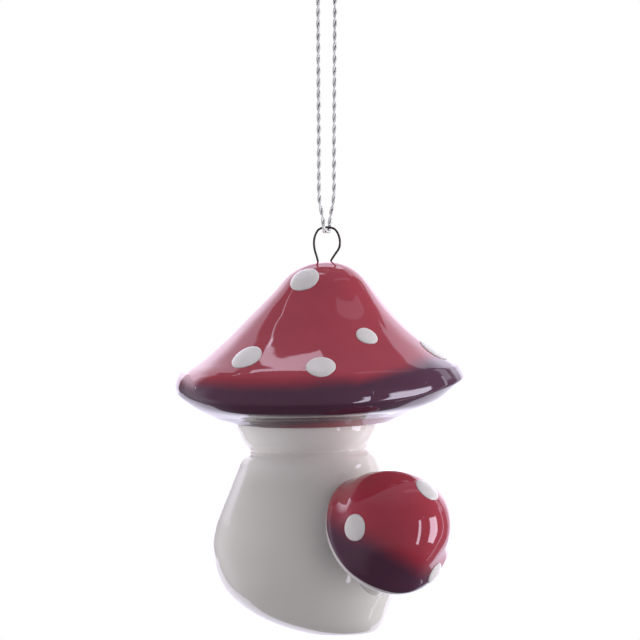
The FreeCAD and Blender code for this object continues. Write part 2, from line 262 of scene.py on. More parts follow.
def blended(tree, factor, first, second):
    """A mix of two colours."""
    mix = add_node(tree, "Mix", {"Factor": factor}, data_type="RGBA")
    for key, colour in (("A_Color", first), ("B_Color", second)):
        socket = next(s for s in mix.inputs if s.identifier == key)
        if isinstance(colour, bpy.types.NodeSocket):
            tree.links.new(colour, socket)
        else:
            socket.default_value = (*colour, 1)
    return next(s for s in mix.outputs if s.identifier == "Result_Color")


def new_material(name, constants):
    """A material with a Principled shader that is given what is the same all over the surface."""
    material = bpy.data.materials.new(name)
    material.use_nodes = True
    tree = material.node_tree
    return material, tree, feed(tree, tree.nodes["Principled BSDF"], constants)


silver_thread, tree, shader = new_material("silver_thread", {"Roughness": 0.3, "Metallic": 0.2})
fibres = mottle(tree, place_on(tree), THREAD_SCALE, 3.0)
silver = blended(tree, fibres, *THREAD_TONES)
# Painted shade: ambient occlusion darkens the thread in the grooves between the plies.
openness = add_node(tree, "AmbientOcclusion", {"Distance": GROOVE_REACH}, samples=8).outputs["AO"]
flecks = reckon(tree, "MULTIPLY", reckon(tree, "SUBTRACT", fibres, 0.5), GROOVE_FLECKS)
outside_painted_shade = passage(tree, reckon(tree, "ADD", openness, flecks), *GROOVE_EDGE)
colour = blended(tree, outside_painted_shade, GROOVE_PAINTED_SHADE, silver)
hairs = add_node(tree, "Bump", {"Height": fibres, "Strength": 0.6, "Distance": THREAD_HAIR})
feed(tree, shader, {"Base Color": colour, "Normal": hairs.outputs["Normal"]})

cord.data.materials.append(silver_thread)
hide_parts("cord_left_strand", "cord_right_strand", "cord_bight")
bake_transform(cord)

# ---------------------------------------------------------------- knot and tails
# The same cord wound over itself above the hook and drawn tight, with its two cut ends left
# standing.  Sizes are in metres.
WRAP_RADIUS = 0.00112
WRAP_TURNS = 2.6
WRAP_HEIGHT = 0.0027
WRAP_STEPS = 40
WRAP_ENDS = 0.12
# The right tail, from inside the knot to its cut end.
TAIL = (
    (0.00035, 0, KNOT_LEVEL - 0.001),
    (0.0006, 0, KNOT_LEVEL + 0.0012),
    (0.00075, 0.0001, KNOT_LEVEL + 0.0041),
    (0.0013, 0.00035, KNOT_LEVEL + 0.0069),
    (0.0016, 0.0003, KNOT_LEVEL + 0.0096),
)
KNOT_FINENESS = 12

wrap = []
for k in range(WRAP_STEPS + 1):
    share = k / WRAP_STEPS
    turn = math.tau * WRAP_TURNS * share
    opening = min(1, WRAP_ENDS + share, 1 + WRAP_ENDS - share)
    reach = WRAP_RADIUS * math.sin(math.pi * opening / 2) ** 0.5
    level = KNOT_LEVEL + WRAP_HEIGHT * (share - 0.5)
    wrap.append(Vector((reach * math.cos(turn), reach * math.sin(turn), level)))
knot_lines = [smooth_line(line, KNOT_FINENESS) for line in (wrap, *both_halves(TAIL))]
knot = link("cord_knot_tied", cord_mesh("cord_knot_tied", knot_lines))

knot.data.materials.append(silver_thread)
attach(knot, "cord_loop")
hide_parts("cord_knot", "cord_tails")

# ---------------------------------------------------------------- wire eye
# One length of dark fired wire, bent to a drop-shaped eye that hangs in the bight of the cord.
# Both its legs are set in the cap's tip and fired in with it.
WIRE = 0.47
WIRE_SIDES = 14
WIRE_UNEVENNESS = 0.04
WIRE_WAVES = ((37, 0), (61, 1))
# The wire's run seen from the front, from the left leg over the crown to the right one.
EYE_SHAPE = (
    (-1.25, -10.4),
    (-1.75, -8.4),
    (-2.15, -6.3),
    (-2.72, -4.4),
    (-2.75, -2.3),
    (-1.95, -0.45),
    (-0.75, 0.06),
    (0.75, 0.06),
    (1.95, -0.45),
    (2.72, -2.2),
    (2.72, -4.2),
    (1.75, -5.5),
    (0.75, -6.9),
    (0.0, -8.6),
    (-0.35, -10.4),
)
EYE_FINENESS = 12
WIRE_TONES = ((0.045, 0.04, 0.04), (0.16, 0.14, 0.13))
# The eye and the castings are drawn in millimetres in the cap's own frame, whose origin is the
# middle of the rim.  They hang from the eye's crown, tipped towards the viewer and to the left.
FRONT_TILT = 2.8
SIDE_TILT = 1.5
EYE_CROWN = Vector((2.53, 0, 32.25))
hang = (
    Matrix.Scale(MM, 4)
    @ Matrix.Translation(CROWN)
    @ Matrix.Rotation(math.radians(FRONT_TILT), 4, "X")
    @ Matrix.Rotation(math.radians(-SIDE_TILT), 4, "Y")
    @ Matrix.Translation(-EYE_CROWN)
)


def wire_radius(share):
    """The wire's radius at a share of its length, a little uneven from bending and firing."""
    slow, fast = (math.sin(wave * share + start) for wave, start in WIRE_WAVES)
    return WIRE / 2 * (1 + WIRE_UNEVENNESS * slow * fast)


eye_line = smooth_line([Vector((x, 0, z)) for x, z in EYE_SHAPE], EYE_FINENESS)
eye_rings = [
    circle(point, side, other, wire_radius(k / (len(eye_line) - 1)), WIRE_SIDES)
    for k, (point, side, other) in enumerate(frames(eye_line))
]
eye = link("eye_wire", skin("eye_wire", [[eye_line[0]], *eye_rings, [eye_line[-1]]]))
eye.data.transform(hang @ Matrix.Translation(EYE_CROWN))

fired_wire, tree, shader = new_material("fired_wire", {"Roughness": 0.42, "Metallic": 1.0})
scale_marks = mottle(tree, place_on(tree), 1400.0, 2.0)
feed(tree, shader, {"Base Color": blended(tree, scale_marks, *WIRE_TONES)})

eye.data.materials.append(fired_wire)
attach(eye, "ornament")
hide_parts("wire_eye")

# ---------------------------------------------------------------- large cap
# A slip-cast hollow cap, luted to the stem and dipped in red glaze.  Its clay is a little uneven,
# its brim dips in front, and under the rolled rim the glaze is darker, with painted shade on it.
# Tip, flare and rim are the radii of the three arcs of its outline.
CAP = {"radius": 30.8, "height": 25.3, "tip": 11.8, "flare": 90.0, "rim": 4.0}
TIP_STEPS = 14
FLARE_STEPS = 22
RIM_STEPS = 22
# Stations of the brim and the underside, as reach and level in front, at the right and at the left.
CAP_BRIM = (
    ((28.35, 3.78), (28.4, 3.8), (28.4, 3.8)),
    ((29.1, 2.95), (29.3, 3.05), (29.2, 3.05)),
    ((29.65, 1.9), (29.85, 2.2), (29.7, 2.3)),
    ((30.05, 0.8), (30.25, 1.5), (30.05, 1.6)),
    ((30.42, -0.5), (30.55, 0.9), (30.3, 0.8)),
    ((30.7, -1.65), (30.73, 0.45), (30.42, 0.1)),
    ((30.78, -2.3), (30.76, 0.15), (30.42, -0.45)),
    ((30.66, -2.9), (30.58, -0.12), (30.25, -1.15)),
    ((30.2, -3.7), (29.9, -0.65), (29.85, -1.9)),
    ((29.5, -4.5), (28.8, -1.65), (29.1, -2.65)),
    ((28.7, -5.1), (27.6, -2.75), (28.0, -3.5)),
    ((27.4, -5.5), (26.3, -3.8), (26.5, -4.6)),
    ((25.0, -5.95), (24.3, -5.0), (24.5, -5.8)),
    ((22.5, -6.3), (21.9, -6.1), (22.4, -6.85)),
    ((20.9, -6.55), (19.8, -6.95), (20.6, -7.65)),
    ((19.6, -6.82), (18.4, -7.5), (19.0, -8.15)),
    ((17.7, -7.95), (16.8, -8.1), (17.3, -8.55)),
    ((16.2, -8.7), (15.6, -8.65), (15.8, -8.72)),
    ((13.6, -8.7), (13.6, -8.8), (13.6, -8.8)),
)
BRIM_GAP = 0.4
BRIM_FINENESS = 5
BRIM_FRONT = (-0.4, 0.3)
CAP_HOLLOW = (
    (9.9, -8.4),
    (9.9, -5.8),
    (20.0, -3.0),
    (22.5, -0.5),
    (14.0, 10.0),
    (6.0, 16.0),
    (0, 16.3),
)
SECTORS = 192
ON_AXIS = 1e-6
# Hand work: how far the clay is uneven, less at the rim, over what size of wave with a finer
# ripple on it, and how far the tip leans to the right and the waist stands to the left.
CLAY_GRAIN = 10.0
RIPPLE_FINENESS = 2.7
RIPPLE_START = Vector((9, 4, 2))
RIPPLE_DEPTH = 0.15
CAP_LIFT = 0.3
CAP_UNEVENNESS = 0.10
RIM_UNEVENNESS = 0.03
RIM_REACH = (26.0, 30.0)
CAP_LEAN = 1.8
WAIST_SHIFT = 0.55
WAIST_START = (3.0, 11.0)
WAIST_END = (13.0, 22.0)


def arc(centre, radius, first, last, steps):
    """Points on an arc, between two angles in degrees from the outward direction."""
    turns = [math.radians(first + (last - first) * k / steps) for k in range(steps + 1)]
    return [(centre[0] + radius * math.cos(t), centre[1] + radius * math.sin(t)) for t in turns]


def eased(points, steps):
    """A smooth run through chosen points of an outline."""
    ends = [Vector(point) for point in (points[0], *points, points[-1])]
    run = []
    for a, b, c, d in zip(ends, ends[1:], ends[2:], ends[3:]):
        for t in (k / steps for k in range(steps)):
            bend = a - 2.5 * b + 2 * c - 0.5 * d
            run.append(b + 0.5 * t * (c - a) + t * t * bend + t**3 * (1.5 * (b - c) + 0.5 * (d - a)))
    return run + [ends[-1]]


def cap_outside(cap, under_angle):
    """The outside of a cap, from its top to the underside of its rim: a round tip and a rolled
    rim, and a hollow flare that meets both without a break."""
    tip_centre = Vector((0, cap["height"] - cap["tip"]))
    rim_centre = Vector((cap["radius"] - cap["rim"], 0))
    near, far = cap["flare"] + cap["tip"], cap["flare"] + cap["rim"]
    apart = rim_centre - tip_centre
    along = (apart.length**2 + near**2 - far**2) / (2 * apart.length)
    off = math.sqrt(near**2 - along**2)
    forward = apart.normalized()
    flare_centre = tip_centre + forward * along + Vector((-forward.y, forward.x)) * off
    to_tip, to_rim = tip_centre - flare_centre, rim_centre - flare_centre
    tip_angle = math.degrees(math.atan2(-to_tip.y, -to_tip.x))
    rim_angle = math.degrees(math.atan2(-to_rim.y, -to_rim.x))
    outline = arc(tip_centre, cap["tip"], 90, tip_angle, TIP_STEPS)
    outline += arc(flare_centre, cap["flare"], tip_angle - 180, rim_angle - 180, FLARE_STEPS)[1:]
    outline += arc(rim_centre, cap["rim"], rim_angle, under_angle, RIM_STEPS)[1:]
    return outline


def handmade(point, normal, depth, grain):
    """A point moved in or out a little, as on a surface finished by hand."""
    ripple = noise.noise(point / grain * RIPPLE_FINENESS + RIPPLE_START)
    return point + normal * depth * (noise.noise(point / grain) + RIPPLE_DEPTH * ripple)


def turned(name, outline_at, sectors, shape):
    """A mesh turned about its axis: outline_at gives its outline at a turn, and shape moves each
    point, given its turn."""
    turns = [math.tau * k / sectors for k in range(sectors)]
    rings = []
    for stations in zip(*(outline_at(turn) for turn in turns)):
        if stations[0][0] < ON_AXIS:
            rings.append([shape(Vector((0, 0, stations[0][1])), 0)])
            continue
        ring = []
        for (reach, level), turn in zip(stations, turns):
            place = Vector((reach * math.sin(turn), -reach * math.cos(turn), level))
            ring.append(shape(place, turn))
        rings.append(ring)
    return skin(name, rings)


def rise(value, low, high):
    """0 below low, 1 above high and a smooth step between."""
    share = min(1, max(0, (value - low) / (high - low)))
    return share * share * (3 - 2 * share)


def cap_shape(point, turn):
    """The cap's hand-made shape, with its leaning tip and its shifted waist."""
    level = point.z
    rim = rise(math.hypot(point.x, point.y), *RIM_REACH)
    outward = Vector((math.sin(turn), -math.cos(turn), CAP_LIFT))
    depth = CAP_UNEVENNESS + (RIM_UNEVENNESS - CAP_UNEVENNESS) * rim
    moved = handmade(point, outward, depth, CLAY_GRAIN)
    moved.x += CAP_LEAN * level / CAP["height"]
    moved.x -= WAIST_SHIFT * rise(level, *WAIST_START) * (1 - rise(level, *WAIST_END))
    return moved


brim_top = CAP_BRIM[0][1][1] + BRIM_GAP
cap_top = [point for point in cap_outside(CAP, 0) if point[1] > brim_top]


def cap_outline(turn):
    """The cap's outline at a turn: the brim dips in front and is thinner at the sides."""
    across = math.sin(turn)
    side = 1 - (1 - abs(across) ** 3) * rise(math.cos(turn), *BRIM_FRONT)
    brim = []
    for front, right, left in CAP_BRIM:
        flank = Vector(right) * (1 + across) / 2 + Vector(left) * (1 - across) / 2
        brim.append(Vector(front) * (1 - side) + flank * side)
    return cap_top + eased(brim, BRIM_FINENESS) + list(CAP_HOLLOW)


large_cap = link("large_cap", turned("large_cap", cap_outline, SECTORS, cap_shape))
large_cap.data.transform(hang)


def new_group(name, takes, gives):
    """An empty node group, what it takes, and the node that gives what it makes.  The sockets
    are listed as name and kind, and those it takes have a value."""
    group = bpy.data.node_groups.new(name, "ShaderNodeTree")
    for word, kind, value in takes:
        socket = group.interface.new_socket(word, in_out="INPUT", socket_type="NodeSocket" + kind)
        socket.default_value = value
    for word, kind in gives:
        group.interface.new_socket(word, in_out="OUTPUT", socket_type="NodeSocket" + kind)
    return group, group.nodes.new("NodeGroupInput").outputs, group.nodes.new("NodeGroupOutput")


def use_group(tree, group, inputs):
    """What a group gives when it is used in a tree."""
    return add_node(tree, "Group", inputs, node_tree=group).outputs


def dot(tree, first, second):
    """How far one arrow reaches along another."""
    arrows = {0: first, 1: second}
    return add_node(tree, "VectorMath", arrows, operation="DOT_PRODUCT").outputs["Value"]


def arrow(tree, end, start):
    """The arrow from one place to another."""
    return add_node(tree, "VectorMath", {0: end, 1: start}, operation="SUBTRACT").outputs["Vector"]


# Fired surface: a faint unevenness of tone and a gentle waviness, as glaze and enamel have.
fired, taken, given = new_group(
    "fired_surface",
    (("Scale", "Float", 120.0), ("Waviness", "Float", 0.1), ("Reach", "Float", 0.0004)),
    (("Tone", "Float"), ("Normal", "Vector")),
)
place = place_on(fired)
tone = mottle(fired, place, taken["Scale"], 3.0)
wave = mottle(fired, place, 210.0, 0.5)
swell = {"Height": wave, "Strength": taken["Waviness"], "Distance": taken["Reach"]}
bump = add_node(fired, "Bump", swell)
feed(fired, given, {"Tone": tone, "Normal": bump.outputs["Normal"]})

# Level mask: a soft mask of what lies beyond a slanting level in one direction, with a wandering
# edge.
level_mask, taken, given = new_group(
    "level_mask",
    (
        ("Down", "Vector", (0, 0, -1)),
        ("Level", "Float", 0.0),
        ("Softness", "Float", 0.002),
        ("Wander", "Float", 0.001),
    ),
    (("Mask", "Float"),),
)
place = place_on(level_mask)
drift = reckon(level_mask, "SUBTRACT", mottle(level_mask, place, 90.0, 1.5), 0.5)
wander = reckon(level_mask, "MULTIPLY", drift, taken["Wander"])
depth = reckon(level_mask, "SUBTRACT", dot(level_mask, place, taken["Down"]), taken["Level"])
below = reckon(level_mask, "ADD", depth, wander)
share = reckon(level_mask, "DIVIDE", below, taken["Softness"])
feed(level_mask, given, {"Mask": passage(level_mask, share, -1.0, 1.0, kind="SMOOTHSTEP")})

# Finger flats: where the soft lip was pressed, its surface faces a little further round.  Each
# row is a share of the way from the front to the reach, in radians, and the angle of the turn.
FLATS_REACH = 1.6
FLATS = (
    (0.0, 0.0),
    (0.10, 0.02),
    (0.15, 0.18),
    (0.215, 0.125),
    (0.225, 0.13),
    (0.25, 0.235),
    (0.36, 0.165),
    (0.51, 0.01),
    (0.62, 0.0),
)
flats, taken, given = new_group(
    "finger_flats",
    (
        ("Hub", "Vector", (0, 0, 0)),
        ("Axis", "Vector", (0, 0, 1)),
        ("Start", "Float", 0.001),
        ("Whole", "Float", -0.001),
        ("Normal", "Vector", (0, 0, 1)),
    ),
    (("Normal", "Vector"),),
)
arm = arrow(flats, place_on(flats), taken["Hub"])
sides = add_node(flats, "SeparateXYZ", {"Vector": arm}).outputs
frontward = reckon(flats, "MULTIPLY", sides["Y"], -1.0)
bearing = passage(flats, reckon(flats, "ARCTAN2", sides["X"], frontward), 0.0, FLATS_REACH)
press = add_node(flats, "ValToRGB", {"Fac": bearing})
ramp = press.color_ramp.elements
ramp[1].position = FLATS[-1][0]
for where, _ in FLATS[1:-1]:
    ramp.new(where)
for element, (_, angle) in zip(ramp, FLATS):
    element.color = (angle, angle, angle, 1)
level = dot(flats, arm, taken["Axis"])
on_lip = passage(flats, level, taken["Start"], taken["Whole"], kind="SMOOTHSTEP")
angle = reckon(flats, "MULTIPLY", press.outputs["Color"], on_lip)
facing = {"Vector": taken["Normal"], "Axis": taken["Axis"], "Angle": angle}
feed(flats, given, {"Normal": add_node(flats, "VectorRotate", facing).outputs["Vector"]})

RED_TONES = ((0.30, 0.022, 0.04), (0.37, 0.032, 0.055))
# Dark red under the rims: darker glaze with painted shade on the large cap, painted shade on the
# small one.
DARK_GLAZE_AND_SHADE = (0.078, 0.023, 0.052)
# The dark band, darker glaze with painted shade, lies between two levels in the cap's frame, each
# leaning a little to the right, and beyond a slanting level at the side, which is in the frame's
# metres.
DARK_TOP = 1.9
DARK_TOP_LEAN = 0.02
DARK_TOP_SOFTNESS = 0.0019
DARK_FOOT = -7.7
DARK_FOOT_LEAN = 0.12
DARK_FOOT_SOFTNESS = 0.0012
DARK_WANDER = 0.003
SIDE_DARK = ((0.28, 0, -1), 0.1083, 0.0016, 0.002)
# The finger flats start above the rim's middle and are whole below it, in metres.
FLATS_START = 0.0006
FLATS_WHOLE = -0.0006


def past_level(tree, down, level, softness, wander):
    """The mask of what lies beyond a level in the direction down."""
    run = {"Down": down, "Level": level, "Softness": softness, "Wander": wander}
    return use_group(tree, level_mask, run)["Mask"]


def red_glaze(name):
    """A glossy red glaze: its material, tree and shader, its even colour and its normal."""
    material, tree, shader = new_material(name, {"Roughness": 0.04, "IOR": 1.68})
    surface = use_group(tree, fired, {"Scale": 160.0, "Waviness": 0.10})
    return material, tree, shader, blended(tree, surface["Tone"], *RED_TONES), surface["Normal"]


cap_red, tree, shader, red, normal = red_glaze("red_glaze_cap")
cap_up = (hang.to_3x3() @ Vector((0, 0, 1))).normalized()
top_down = Vector((DARK_TOP_LEAN, 0, 0)) - cap_up
top_level = (hang @ Vector((0, 0, DARK_TOP))).dot(top_down)
foot_down = Vector((DARK_FOOT_LEAN, 0, 0)) - cap_up
foot_level = (hang @ Vector((0, 0, DARK_FOOT))).dot(foot_down)
# Painted shade: under the brim the red is darkened, as darker glaze and as shade together.
dark_band = past_level(tree, top_down, top_level, DARK_TOP_SOFTNESS, DARK_WANDER)
dark_band = reckon(tree, "MAXIMUM", dark_band, past_level(tree, *SIDE_DARK))
dark_band_end = past_level(tree, foot_down, foot_level, DARK_FOOT_SOFTNESS, 0.0)
dark_band = reckon(tree, "SUBTRACT", dark_band, dark_band_end)
pressing = {"Hub": hang @ Vector(), "Axis": cap_up, "Start": FLATS_START, "Whole": FLATS_WHOLE}
pressed = use_group(tree, flats, {**pressing, "Normal": normal})
colour = blended(tree, dark_band, red, DARK_GLAZE_AND_SHADE)
feed(tree, shader, {"Base Color": colour, "Normal": pressed["Normal"]})

large_cap.data.materials.append(cap_red)
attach(large_cap, "ornament")
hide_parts("cap_shell")

# ---------------------------------------------------------------- stem
# A slip-cast hollow bulb that narrows to a collar under the cap and to a small foot, swung a
# little aside as it was luted on.  Round the collar, in the cap's shade, its white is painted paler.
# Each station is its radius, its depth under the cap and its sideways place.
CAP_DROP = 8.5
STEM = (
    (15.3, -0.6, -2.6),
    (15.1, 0.6, -2.6),
    (14.75, 1.8, -2.5),
    (14.2, 3.2, -2.5),
    (13.5, 4.4, -2.5),
    (12.75, 5.3, -2.5),
    (12.6, 5.65, -2.5),
    (13.2, 6.05, -2.5),
    (14.1, 6.8, -2.5),
    (14.75, 8.0, -2.55),
    (15.3, 9.5, -2.6),
    (16.8, 13.2, -2.8),
    (18.2, 17.3, -3.15),
    (19.35, 21.5, -3.5),
    (19.95, 25.9, -3.6),
    (19.4, 31.2, -3.2),
    (17.75, 35.65, -2.45),
    (14.6, 39.8, -0.9),
    (11.1, 42.7, 1.25),
    (7.0, 44.6, 3.3),
    (3.2, 44.85, 3.1),
    (2.1, 44.6, 3.0),
    (2.0, 43.4, 3.0),
    (2.0, 42.2, 3.0),
    (7.6, 41.0, 1.0),
    (15.0, 35.6, -2.5),
    (17.1, 25.9, -3.6),
    (12.4, 9.3, -2.6),
    (9.8, 5.6, -2.5),
    (9.8, -0.6, -2.5),
    (15.3, -0.6, -2.6),
)
STEM_FINENESS = 6
STEM_UNEVENNESS = 0.14
STEM_FADE = (-52.0, -46.0)
WHITE_TONES = ((0.61, 0.58, 0.575), (0.67, 0.64, 0.635))
COLLAR_PAINTED_LIGHT = (0.90, 0.85, 0.86)
COLLAR_DEPTH = 8.0
COLLAR_SOFTNESS = 0.006
COLLAR_WANDER = 0.002
# Dabs of thicker glaze below the collar: their middle and half their length and width, in metres.
DABS = (
    ((0.00302, 0, -0.1269), 0.0011, 0.0006),
    ((0.0059, 0, -0.1254), 0.0018, 0.00042),
)
DAB_ALONG = (0.842, 0, 0.539)
DAB_ACROSS = (-0.539, 0, 0.842)
DAB_TILT = math.radians(11)
DAB_EDGE = 0.7


def stem_shape(point):
    """The slight unevenness of the stem's sides, which fades out towards the foot."""
    outward = Vector((point.x - STEM[0][2], point.y, 0)).normalized()
    return handmade(point, outward, STEM_UNEVENNESS * rise(point.z, *STEM_FADE), CLAY_GRAIN)


turns = [math.tau * k / SECTORS for k in range(SECTORS)]
stem_rings = []
for reach, depth, aside in eased(STEM, STEM_FINENESS):
    level = -CAP_DROP - depth
    ring = [Vector((aside + reach * math.sin(t), -reach * math.cos(t), level)) for t in turns]
    stem_rings.append([stem_shape(point) for point in ring])
stem = link("stem", skin("stem", stem_rings))
stem.data.transform(hang)

# Brush dab: a mask of a small soft-edged oblong place, where thicker glaze faces further down.
dab, taken, given = new_group(
    "brush_dab",
    (
        ("Middle", "Vector", (0, 0, 0)),
        ("Along", "Vector", (1, 0, 0)),
        ("Across", "Vector", (0, 0, 1)),
        ("Half Length", "Float", 0.001),
        ("Half Width", "Float", 0.001),
    ),
    (("Mask", "Float"),),
)
arm = arrow(dab, place_on(dab), taken["Middle"])
shares = []
for way, half in (("Along", "Half Length"), ("Across", "Half Width")):
    off = reckon(dab, "DIVIDE", dot(dab, arm, taken[way]), taken[half])
    off = reckon(dab, "ABSOLUTE", off)
    shares.append(passage(dab, off, 1.0, DAB_EDGE, kind="SMOOTHSTEP"))
feed(dab, given, {"Mask": reckon(dab, "MULTIPLY", *shares)})

white_glaze, tree, shader = new_material("white_glaze", {"Roughness": 0.05, "IOR": 1.5})
surface = use_group(tree, fired, {"Scale": 70.0, "Waviness": 0.12})
white = blended(tree, surface["Tone"], *WHITE_TONES)
# Painted light: round the collar, in the cap's shade, the white is painted paler.
collar_level = (hang @ Vector((0, 0, -CAP_DROP - COLLAR_DEPTH))).dot(-cap_up)
under_collar = past_level(tree, -cap_up, collar_level, COLLAR_SOFTNESS, COLLAR_WANDER)
tilt = 0.0
for dab_middle, half_length, half_width in DABS:
    spot = {"Middle": dab_middle, "Along": DAB_ALONG, "Across": DAB_ACROSS}
    spot.update({"Half Length": half_length, "Half Width": half_width})
    tilt = reckon(tree, "ADD", tilt, use_group(tree, dab, spot)["Mask"])
tilt = reckon(tree, "MULTIPLY", tilt, DAB_TILT)
facing = {"Vector": surface["Normal"], "Axis": (1, 0, 0), "Angle": tilt}
normal = add_node(tree, "VectorRotate", facing).outputs["Vector"]
colour = blended(tree, under_collar, COLLAR_PAINTED_LIGHT, white)
feed(tree, shader, {"Base Color": colour, "Normal": normal})

stem.data.materials.append(white_glaze)
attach(stem, "ornament")
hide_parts("stem_shell")

# ---------------------------------------------------------------- small cap
# A second slip-cast cap in the same red glaze, luted to the right front of the stem by a short
# neck.  Its soft rim was pressed out of round, and its lip is pale.
BUD = {"radius": 13.65, "height": 15.5, "tip": 12.0, "flare": 24.0, "rim": 3.9}
BUD_UNDER_ANGLE = -86
BUD_UNDERSIDE = ((8.9, -3.85), (8.0, -3.8), (7.2, -3.6))
BUD_HOLLOW = (
    (4.0, -3.6),
    (4.0, -1.2),
    (8.5, -1.2),
    (9.3, 0.5),
    (6.8, 7.0),
    (4.0, 10.4),
    (0, 10.5),
)
BUD_FINENESS = 4
# Its place in the large cap's frame, how far its axis rises and how far it turns aside.
BUD_PLACE = (13.6, -18.6, -31.5)
BUD_RISE = 33.2
BUD_TURN = 28.2
grow = (
    Matrix.Translation(BUD_PLACE)
    @ Matrix.Rotation(math.radians(BUD_TURN), 4, "Z")
    @ Matrix.Rotation(math.radians(90 - BUD_RISE), 4, "X")
)
# Hand work: the unevenness and its size of wave, how far all of it stands inside the outline, and
# where the soft rim was pressed out or in: the turn, how far round it reaches, and how much.
BUD_UNEVENNESS = 0.09
BUD_GRAIN = 6.0
BUD_LIFT = 0.4
BUD_INSET = 0.03
BUD_PRESSED = ((-150.0, 24.0, 1.0), (112.0, 30.0, 0.85), (38.0, 18.0, -0.5))
BUD_RIM_REACH = (7.5, 12.5)
# The painted shade on the lower left, the painted sheen on the top and the pale lip: directions and
# levels, in metres but for the lip's, which is in the small cap's own frame.
BUD_PAINTED_SHADE = ((-0.49, 0, -0.87), 0.11715, 0.003, 0.003)
BUD_PAINTED_SHEEN = ((-0.35, 0, 1), -0.1325, 0.004, 0.0)
BUD_LIP = -0.35
LIP_SOFTNESS = 0.0002
LIP_WANDER = 0.0006
PAINTED_SHEEN_RED = (0.36, 0.055, 0.075)
PALE_LIP = (0.62, 0.57, 0.60)


def bud_shape(point, turn):
    """The small cap's hand-made shape: not quite round, and slightly uneven."""
    outward = Vector((math.sin(turn), -math.cos(turn), BUD_LIFT))
    moved = handmade(point, outward, BUD_UNEVENNESS, BUD_GRAIN) - BUD_INSET * outward
    bulge = 0
    for middle_turn, reach, amount in BUD_PRESSED:
        apart = (math.degrees(turn) - middle_turn + 180) % 360 - 180
        bulge += amount * math.exp(-((apart / reach) ** 2))
    outward.z = 0
    return moved + outward * bulge * rise(math.hypot(point.x, point.y), *BUD_RIM_REACH)


bud_outline = cap_outside(BUD, BUD_UNDER_ANGLE)
bud_outline += eased(BUD_UNDERSIDE, BUD_FINENESS) + list(BUD_HOLLOW)
small_cap = link("small_cap", turned("small_cap", lambda turn: bud_outline, SECTORS, bud_shape))
small_cap.data.transform(hang @ grow)

bud_red, tree, shader, red, normal = red_glaze("red_glaze_bud")
bud_down = -((hang @ grow).to_3x3() @ Vector((0, 0, 1))).normalized()
lip_level = (hang @ grow @ Vector((0, 0, BUD_LIP))).dot(bud_down)
# Painted sheen on the top and painted shade on the lower left.
colour = blended(tree, past_level(tree, *BUD_PAINTED_SHEEN), red, PAINTED_SHEEN_RED)
colour = blended(tree, past_level(tree, *BUD_PAINTED_SHADE), colour, DARK_GLAZE_AND_SHADE)
# Below a level at the lip the colour is pale.
lip_mask = past_level(tree, bud_down, lip_level, LIP_SOFTNESS, LIP_WANDER)
feed(tree, shader, {"Base Color": blended(tree, lip_mask, colour, PALE_LIP), "Normal": normal})

small_cap.data.materials.append(bud_red)
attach(small_cap, "ornament")
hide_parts("bud_cap")

# ---------------------------------------------------------------- small stem
# A short neck of the same clay, glazed white like the stem.  It stands under the small cap and is
# luted to the side of the large stem.
BUD_STEM = (
    (4.0, -3.2),
    (6.35, -3.2),
    (6.4, -4.4),
    (6.5, -6.5),
    (6.7, -9.0),
    (6.8, -15.4),
    (4.0, -15.4),
)
neck = [(0, BUD_STEM[0][1]), *eased(BUD_STEM, BUD_FINENESS), (0, BUD_STEM[-1][1])]
neck_mesh = turned("small_stem", lambda turn: neck, SECTORS // 2, bud_shape)
small_stem = link("small_stem", neck_mesh)
small_stem.data.transform(hang @ grow)

small_stem.data.materials.append(white_glaze)
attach(small_stem, "ornament")
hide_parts("bud_stem")

# ---------------------------------------------------------------- enamel dots
# Thick white enamel, dabbed on with a round tool before the last firing: low domes with rounded
# edges, none quite round.  Each is its turn from the front, its distance from the axis, its radius.
CAP_DOTS = {
    "cap_dot_upper_left": (-19.4, 7.5, 3.25),
    "cap_dot_right": (31.6, 19.8, 2.4),
    "cap_dot_left": (-38.1, 24.1, 3.45),
    "cap_dot_front": (1.3, 26.7, 3.1),
    "cap_dot_far_right": (76.0, 25.0, 3.5),
    "cap_dot_back_right": (128.0, 19.0, 2.9),
    "cap_dot_back_upper": (160.0, 9.5, 2.6),
    "cap_dot_back": (182.0, 22.5, 3.3),
    "cap_dot_back_left": (-138.0, 16.5, 2.6),
    "cap_dot_far_left": (-118.0, 24.5, 3.0),
}
BUD_DOTS = {
    "bud_dot_left": (-83.9, 11.4, 2.85),
    "bud_dot_upper_right": (123.5, 5.0, 2.9),
    "bud_dot_lower_right": (34.0, 12.8, 2.5),
    "bud_dot_back": (135.0, 12.4, 2.4),
}
DOT_RISE = 0.45
DOT_FULLNESS = 0.75
DOT_SPOKES = 72
DOT_RINGS = 14
# Under its edge a dot goes on below the glaze: shares of its radius and of its rise.
DOT_FOOT = ((0.97, -0.25), (0.6, -0.35), (0, -0.4))
# How it is out of round, in broad and in fine waves: how fine they are, and how deep.
DOT_WAVES = ((0.9, 0.035), (3, 0.01))
WAVE_STEP = 3.7
ABOVE_DOT = 6
ABOVE_CAP = 60
ENAMEL_TONES = ((0.58, 0.54, 0.57), (0.68, 0.64, 0.66))


def dome(name, glaze, seat, outward, radius, number):
    """A low dome of enamel that follows the glaze under it."""
    side = outward.orthogonal().normalized()
    other = outward.cross(side)
    slopes = [k / DOT_RINGS * math.pi / 2 for k in range(DOT_RINGS + 1)]
    profile = [(math.sin(slope), max(0, math.cos(slope)) ** DOT_FULLNESS) for slope in slopes]
    rings = []
    for share, lift in (*profile, *DOT_FOOT):
        ring = []
        for n in range(DOT_SPOKES if share > ON_AXIS else 1):
            turn = math.tau * n / DOT_SPOKES
            edge = Vector((math.cos(turn), math.sin(turn), number * WAVE_STEP))
            waves = sum(depth * noise.noise(edge * fine) for fine, depth in DOT_WAVES)
            reach = radius * share * (1 + waves)
            start = seat + (side * math.cos(turn) + other * math.sin(turn)) * reach
            foot = glaze.ray_cast(start + outward * ABOVE_DOT, -outward)[0]
            ring.append(foot + outward * DOT_RISE * lift)
        rings.append(ring)
    return link(name, skin(name, rings))


